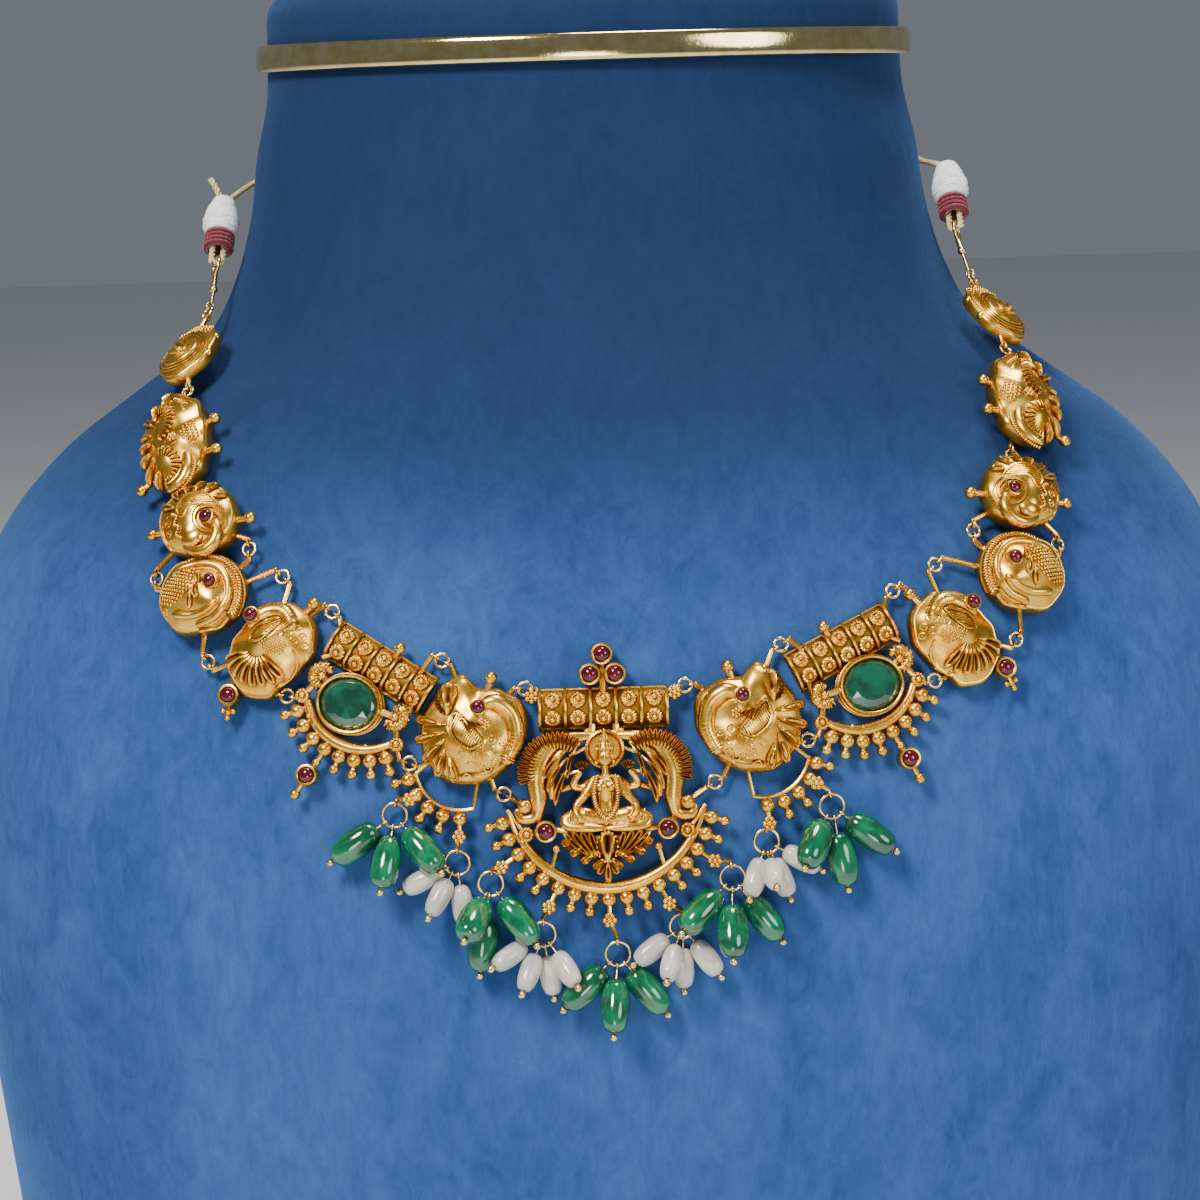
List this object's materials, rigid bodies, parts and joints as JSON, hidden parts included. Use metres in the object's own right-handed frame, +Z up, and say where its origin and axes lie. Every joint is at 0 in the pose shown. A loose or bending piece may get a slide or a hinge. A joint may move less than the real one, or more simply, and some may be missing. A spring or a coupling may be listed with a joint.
{
  "type": "temple jewellery necklace on a neck bust",
  "caption": "South Asian temple jewellery necklace of gold peacock plaques, a seated goddess pendant, emeralds and hanging bead clusters, shown on a velvet neck bust.",
  "frame": {"origin": "centre of the flat base of the bust", "axes": "+Z up, +X to the viewer's right, -Y towards the viewer, the front of the necklace"},
  "size_m": [0.2498, 0.1525, 0.272],
  "materials": {
    "velvet": "brushed velvet nap",
    "band": "polished",
    "gold": "antique satin with dark recesses",
    "gold_wire": "polished wire",
    "ruby": "polished cabochon",
    "emerald": "facet cut",
    "green_stone": "polished translucent bead",
    "pearl": "pearl lustre",
    "maroon_thread": "wound thread",
    "white_cotton": "soft cotton",
    "cord": "metallic thread cord"
  },
  "bodies": {
    "root": {"bust": "velvet", "neck_band": "band", "centre_pendant": "gold", "ruby_trio": "ruby", "pendant_rubies": "ruby", "peacock_1_left": "gold", "peacock_1_right": "gold", "emerald_setting_left": "gold", "emerald_setting_right": "gold", "emerald_left": "emerald", "emerald_right": "emerald", "peacock_2_left": "gold", "peacock_2_right": "gold", "crested_plaque_left": "gold", "crested_plaque_right": "gold", "paisley_plaque_left": "gold", "paisley_plaque_right": "gold", "leaf_plaque_left": "gold", "leaf_plaque_right": "gold", "end_paisley_left": "gold", "end_paisley_right": "gold", "small_rubies_left": "ruby", "small_rubies_right": "ruby", "green_beads_1": "green_stone", "pearls_2": "pearl", "green_beads_3": "green_stone", "pearls_4": "pearl", "green_beads_5": "green_stone", "pearls_6": "pearl", "green_beads_7": "green_stone", "pearls_8": "pearl", "green_beads_9": "green_stone", "pins_1": "gold_wire", "pins_2": "gold_wire", "pins_3": "gold_wire", "pins_4": "gold_wire", "pins_5": "gold_wire", "pins_6": "gold_wire", "pins_7": "gold_wire", "pins_8": "gold_wire", "pins_9": "gold_wire", "bead_rings": "gold_wire", "jump_rings_left": "gold_wire", "jump_rings_right": "gold_wire", "end_link_left": "gold_wire", "end_link_right": "gold_wire", "whipping_left": "maroon_thread", "whipping_right": "maroon_thread", "cotton_binding_left": "white_cotton", "cotton_binding_right": "white_cotton", "neck_cord": "cord"}
  },
  "joints": []
}
